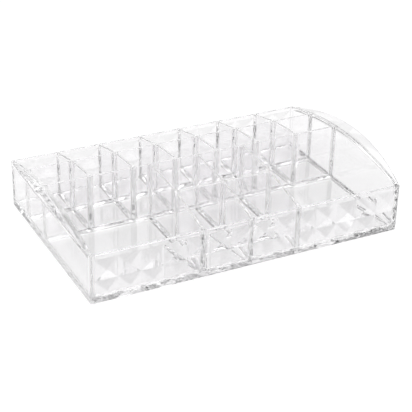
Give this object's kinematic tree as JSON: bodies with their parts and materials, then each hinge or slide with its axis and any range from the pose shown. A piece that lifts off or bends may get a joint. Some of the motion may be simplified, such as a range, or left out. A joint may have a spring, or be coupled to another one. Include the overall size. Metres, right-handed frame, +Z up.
{
  "type": "vanity organizer",
  "caption": "Clear open-top tray for cosmetics, with small cells at the back, larger trays in front, faceted front and back walls and a bowed lifting lip along each side.",
  "frame": {"origin": "centre of the underside, where the tray rests on a table", "axes": "+Z up, front wall facing -Y, length along X"},
  "size_m": [0.3206, 0.1962, 0.0602],
  "materials": {
    "clear_plastic": "clear, polished"
  },
  "bodies": {
    "root": {"base": "clear_plastic", "front_wall": "clear_plastic", "back_wall": "clear_plastic", "left_side_panel": "clear_plastic", "right_side_panel": "clear_plastic", "rear_cross_wall": "clear_plastic", "middle_cross_wall": "clear_plastic", "column_divider_1": "clear_plastic", "column_divider_2": "clear_plastic", "column_divider_3": "clear_plastic", "column_divider_4": "clear_plastic", "column_divider_5": "clear_plastic", "column_divider_6": "clear_plastic", "left_front_rib": "clear_plastic", "centre_front_rib": "clear_plastic", "right_front_rib": "clear_plastic", "front_cross_wall": "clear_plastic"}
  },
  "joints": []
}
